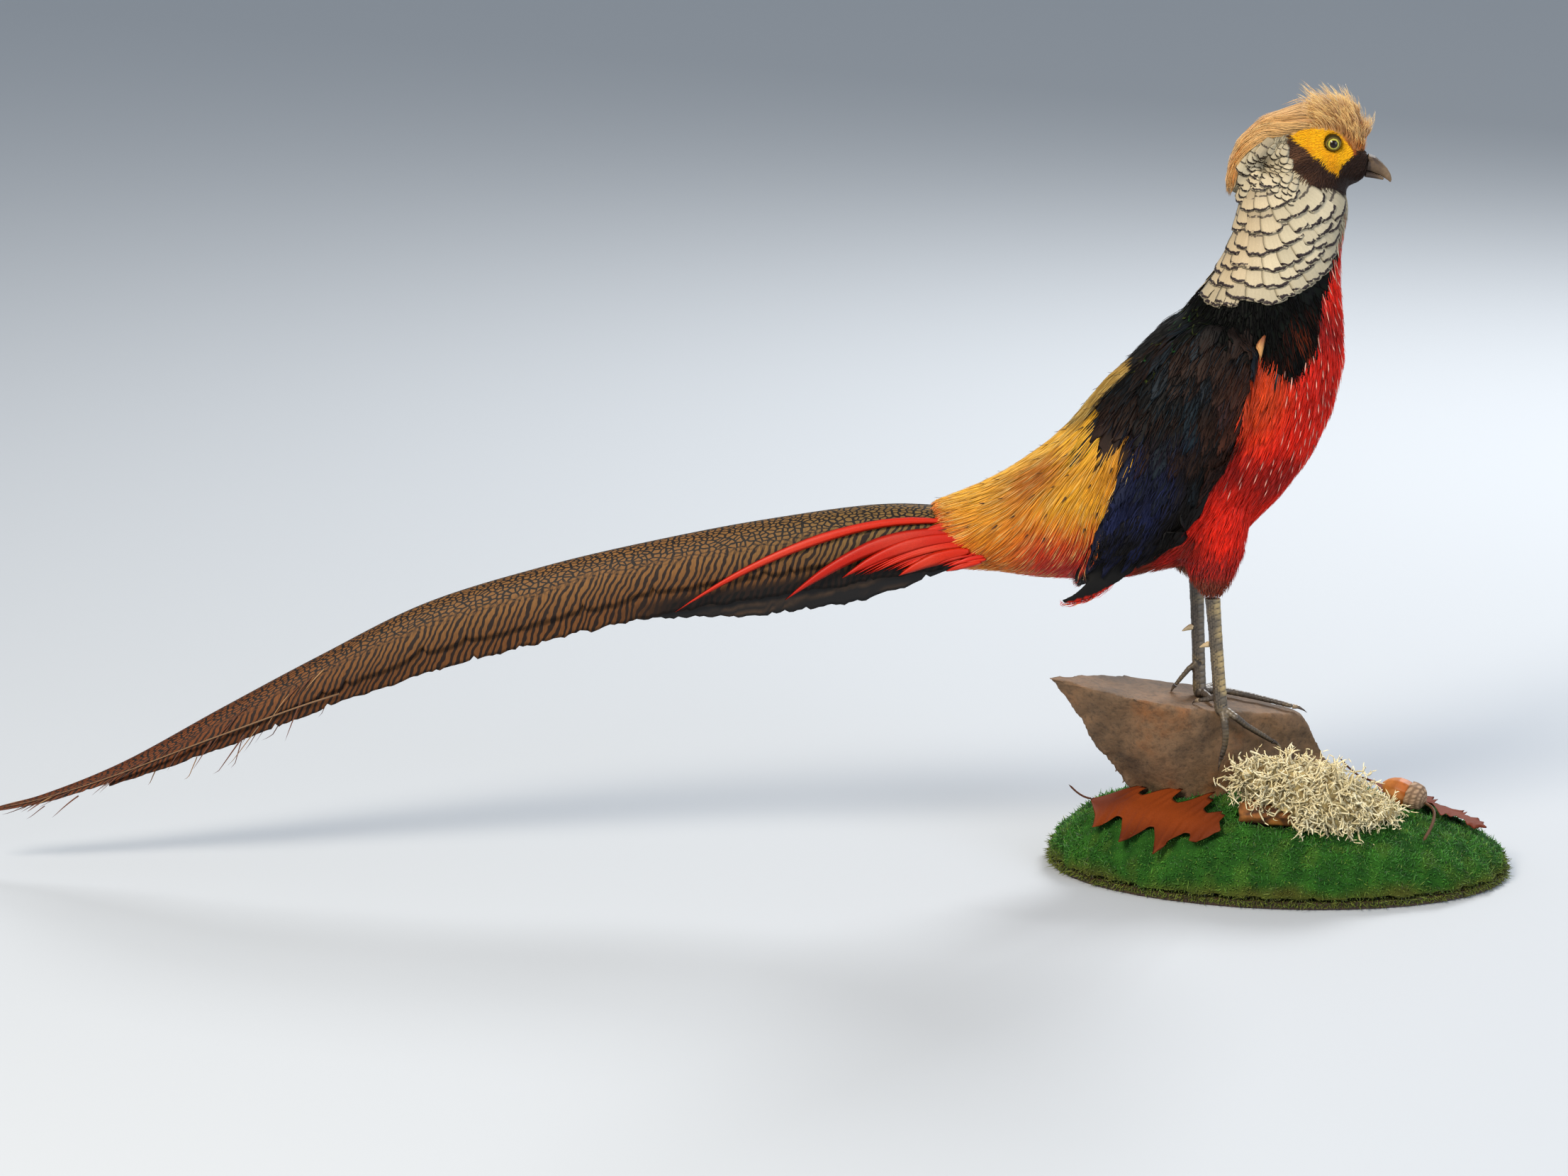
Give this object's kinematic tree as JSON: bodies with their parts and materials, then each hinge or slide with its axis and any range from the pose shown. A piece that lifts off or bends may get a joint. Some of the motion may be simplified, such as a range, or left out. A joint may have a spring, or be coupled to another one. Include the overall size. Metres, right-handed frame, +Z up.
{
  "type": "mounted golden pheasant",
  "caption": "Taxidermy cock golden pheasant standing on a stone on an oval moss-covered base with dry leaves, lichen and an acorn.",
  "frame": {"origin": "middle of the oval base's flat underside", "axes": "+X the way the bird faces, with the tail towards -X; +Z up; +Y the bird's left"},
  "size_m": [1.043, 0.2052, 0.5335],
  "materials": {
    "board_wood": "satin",
    "moss": "matte",
    "stone": "rough",
    "bark": "rough",
    "lichen": "matte",
    "oak_leaf": "satin",
    "acorn": "satin",
    "acorn_cup": "rough",
    "face_feathers": "satin",
    "crest_feathers": "silky",
    "cape_feathers": "satin",
    "scarlet_feathers": "satin",
    "wing_feathers": "satin",
    "tail_feathers": "satin",
    "plume_feathers": "satin",
    "tail_under_feathers": "satin",
    "bill_horn": "semi-gloss",
    "leg_scales": "semi-gloss",
    "claw_horn": "semi-gloss",
    "glass_eye": "polished"
  },
  "bodies": {
    "root": {"base_board": "board_wood", "base_moss": "moss", "base_rock": "stone", "base_bark": "bark", "base_lichen": "lichen", "base_leaf_front": "oak_leaf", "base_leaf_back": "oak_leaf", "base_acorn_nut": "acorn", "base_acorn_cup": "acorn_cup", "head": "face_feathers", "crest": "crest_feathers", "bill_upper": "bill_horn", "bill_lower": "bill_horn", "neck": "cape_feathers", "trunk": "scarlet_feathers", "tail_under": "tail_under_feathers", "eye_right": "glass_eye", "wing_right": "wing_feathers", "thigh_right": "scarlet_feathers", "shank_right": "leg_scales", "spur_right": "claw_horn", "foot_right": "leg_scales", "tail_centre_right": "tail_feathers", "tail_side_right": "tail_feathers", "plume_long_right": "plume_feathers", "plume_short_right": "plume_feathers", "claw_right_middle": "claw_horn", "claw_right_outer": "claw_horn", "claw_right_inner": "claw_horn", "claw_right_hind": "claw_horn", "eye_left": "glass_eye", "wing_left": "wing_feathers", "thigh_left": "scarlet_feathers", "shank_left": "leg_scales", "spur_left": "claw_horn", "foot_left": "leg_scales", "tail_centre_left": "tail_feathers", "tail_side_left": "tail_feathers", "plume_long_left": "plume_feathers", "plume_short_left": "plume_feathers", "claw_left_middle": "claw_horn", "claw_left_outer": "claw_horn", "claw_left_inner": "claw_horn", "claw_left_hind": "claw_horn"}
  },
  "joints": []
}
